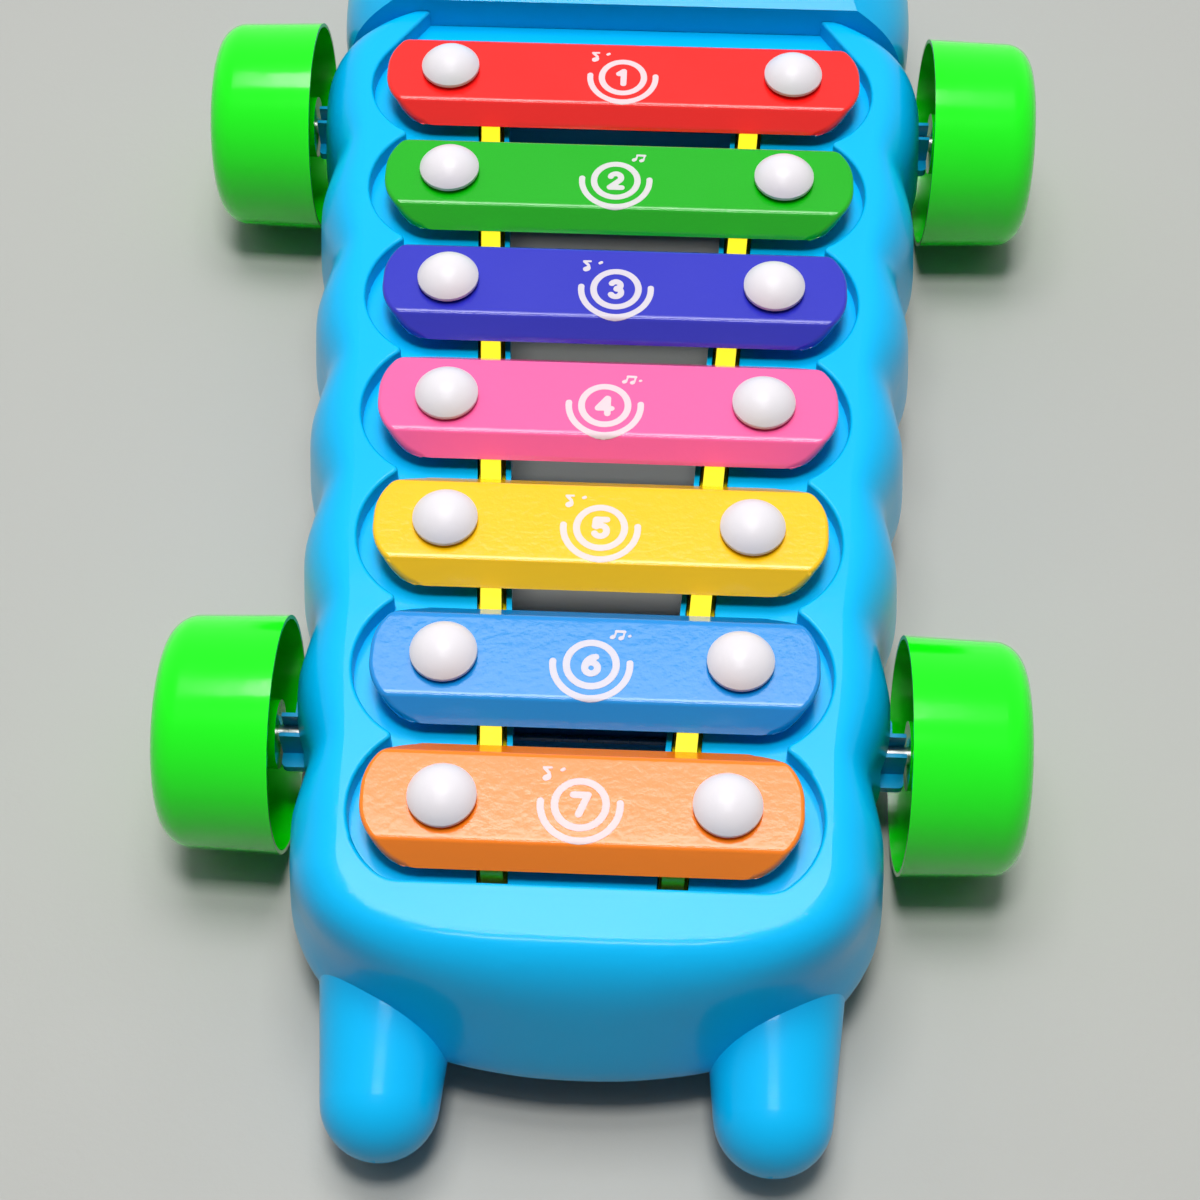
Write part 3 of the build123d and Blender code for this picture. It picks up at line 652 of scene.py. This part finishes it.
# %% Print the bars
ink_cover = 0.74
print_white = coloured(
    "print_white", srgb(240, 231, 235), low=0.35, high=0.50, ripple_size=500.0,
    ripple_depth=0.01 * MM, specular=0.3,
)
print_white.node_tree.nodes["Principled BSDF"].inputs["Alpha"].default_value = ink_cover
print_shifts = [
    (0.0, -0.96), (-0.52, -1.17), (0.31, -1.35), (-0.49, -1.45), (0.04, -0.73), (-0.51, -1.10),
    (-0.20, -0.88),
]
for number in bar_numbers:
    notes = single_note if number % 2 else paired_notes + stray_dot * (number > 2)
    low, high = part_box(f"bar_{number}")
    shift = print_shifts[number - 1]
    middle = ((low[0] + high[0]) / 2 + shift[0] * MM, (low[1] + high[1]) / 2 + shift[1] * MM)
    strokes = number_strokes[number] + ring_strokes + notes
    layer = print_on(f"bar_{number}_print", strokes, plates[number], middle)
    dress(layer.data, print_white)
    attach(layer, f"bar_{number}_plate")
    print(layer.name, len(layer.data.polygons), "faces")

# %% [markdown]
# ## The floor
# The toy stands on a plain pale floor. It is one large sheet, light grey with a faint cloud.
# The lamps hang low, so such a floor would darken with distance. More lamps would wash out the
# toy. Instead, from about a third of a metre out, what the camera and the glossy surfaces see of
# the floor turns into one even pale grey, and its far edge can't be told from the room behind it.

# %% Rays that show the background
def background_rays(tree):
    """A node that gives 1 for rays to the camera, in gloss and through glass, or else 0."""
    rays = add(tree, "ShaderNodeLightPath")
    shown = add(tree, "ShaderNodeMath", "MAXIMUM")
    all_shown = add(tree, "ShaderNodeMath", "MAXIMUM")
    join(tree, rays, "Is Camera Ray", shown, 0)
    join(tree, rays, "Is Glossy Ray", shown, 1)
    join(tree, shown, 0, all_shown, 0)
    join(tree, rays, "Is Transmission Ray", all_shown, 1)
    return all_shown


print("background rays ready")

# %% Floor
pale_grey = srgb(197, 197, 193)
floor_size = 60.0
floor_mesh = bpy.data.meshes.new("floor")
half = floor_size / 2
floor_corners = [(-half, -half, 0), (half, -half, 0), (half, half, 0), (-half, half, 0)]
floor_mesh.from_pydata(floor_corners, [], [(0, 1, 2, 3)])
floor = place_in_scene("floor", floor_mesh)
print("floor", floor_size, "m wide")

# %% Floor's finish
even_from = 0.32
even_to = 1.3
floor_grey, tree, shader = new_material("floor_grey")
tint = place_group(tree, shade_drift, Size=5.0, Amount=0.10, Color=srgb(174, 174, 169))
gloss = place_group(tree, scuffs, Patch_Size=9.0, Low=0.5, High=0.7)
grit = place_group(tree, ripple, Size=700.0)
bump = add(tree, "ShaderNodeBump", Strength=0.3, Distance=0.2 * MM)
join(tree, tint, "Color", shader, "Base Color")
join(tree, gloss, "Roughness", shader, "Roughness")
join(tree, grit, "Height", bump, "Height")
join(tree, bump, "Normal", shader, "Normal")
place = add(tree, "ShaderNodeTexCoord")
away = add(tree, "ShaderNodeVectorMath", "LENGTH")
far = add(tree, "ShaderNodeMapRange", From_Min=even_from, From_Max=even_to)
far.interpolation_type = "SMOOTHSTEP"
shown = background_rays(tree)
share = add(tree, "ShaderNodeMath", "MULTIPLY")
even = add(tree, "ShaderNodeEmission", Color=pale_grey)
choice = add(tree, "ShaderNodeMixShader")
join(tree, place, "Object", away, 0)
join(tree, away, "Value", far, "Value")
join(tree, far, "Result", share, 0)
join(tree, shown, 0, share, 1)
join(tree, share, 0, choice, "Fac")
join(tree, shader, 0, choice, 1)
join(tree, even, 0, choice, 2)
join(tree, choice, 0, tree.nodes["Material Output"], "Surface")
dress(floor_mesh, floor_grey)
print("even grey from", even_from, "to", even_to, "m out")

# %% [markdown]
# ## Light
# One big lamp would light the toy, but not give each finish the gleam it shows. Five soft lamps
# hang at one height instead, each for one thing seen in the picture:
# * the ceiling lamp, a little beyond the head, lights the folds and gives the wheels a gleam
# * the far panel, further out, is mirrored in the lacquer of the last two bars as a pale haze
# * the overhead lamp gives the shadows their clear edge. It is left out of reflections, because
#   a third mirror image would wash out the bars' colours
# * the rim strip and the tail strip do the opposite: they are seen only in reflections, as the
#   pale line along the tail's rim and the gleams on the feet and the folds

# %% Lamps
lamp_height = 1.2


def area_lamp(name, x, y, wide, long, power):
    """A flat lamp that shines straight down, with sizes in metres and power in watts."""
    data = bpy.data.lights.new(name, "AREA")
    data.shape = "RECTANGLE"
    data.size = wide
    data.size_y = long
    data.energy = power
    lamp = place_in_scene(name, data)
    lamp.location = (x, y, lamp_height)
    return lamp


area_lamp("ceiling_lamp", x=-0.05, y=0.26, wide=0.60, long=0.36, power=6.2)
area_lamp("far_panel", x=-0.04, y=0.53, wide=0.50, long=0.22, power=1.1)
overhead = area_lamp("overhead", x=0.0, y=-0.12, wide=0.24, long=0.20, power=7.8)
overhead.visible_glossy = False
rim_strip = area_lamp("rim_strip", x=-0.03, y=0.035, wide=0.40, long=0.03, power=1.0)
tail_strip = area_lamp("tail_strip", x=-0.03, y=-0.31, wide=0.40, long=0.12, power=2.0)
for strip in (rim_strip, tail_strip):
    strip.visible_diffuse = False
print("five lamps at", lamp_height, "m")

# %% [markdown]
# ## The room
# The lamps alone would leave the sides of the toy nearly black. More lamps at the sides could
# help, but each would add a gleam that the picture lacks. The world gives a soft fill instead,
# brighter from beyond the head, like a bright wall there. What the camera, gloss and glass see of
# the room isn't this fill but the floor's even pale grey.

# %% World
wall_direction = Vector((-0.1, 0.75, 0.65)).normalized()
wall_from = 0.30
wall_to = 0.85
dim_fill = 0.05
bright_fill = 0.70
cool_white = (0.93, 0.96, 1.0, 1.0)
world = bpy.data.worlds.new("room")
bpy.context.scene.world = world
world.use_nodes = True
tree = world.node_tree
fill = tree.nodes["Background"]
place = add(tree, "ShaderNodeTexCoord")
towards = add(tree, "ShaderNodeVectorMath", "DOT_PRODUCT")
towards.inputs[1].default_value = wall_direction
bright = add(tree, "ShaderNodeMapRange", From_Min=wall_from, From_Max=wall_to,
             To_Min=dim_fill, To_Max=bright_fill)
shown = background_rays(tree)
pale = add(tree, "ShaderNodeBackground", Color=pale_grey, Strength=1.0)
choice = add(tree, "ShaderNodeMixShader")
fill.inputs["Color"].default_value = cool_white
join(tree, place, "Generated", towards, 0)
join(tree, towards, "Value", bright, "Value")
join(tree, bright, "Result", fill, "Strength")
join(tree, shown, 0, choice, "Fac")
join(tree, fill, 0, choice, 1)
join(tree, pale, 0, choice, 2)
join(tree, choice, 0, tree.nodes["World Output"], "Surface")
bpy.context.scene.view_settings.view_transform = "Standard"
print("world ready")
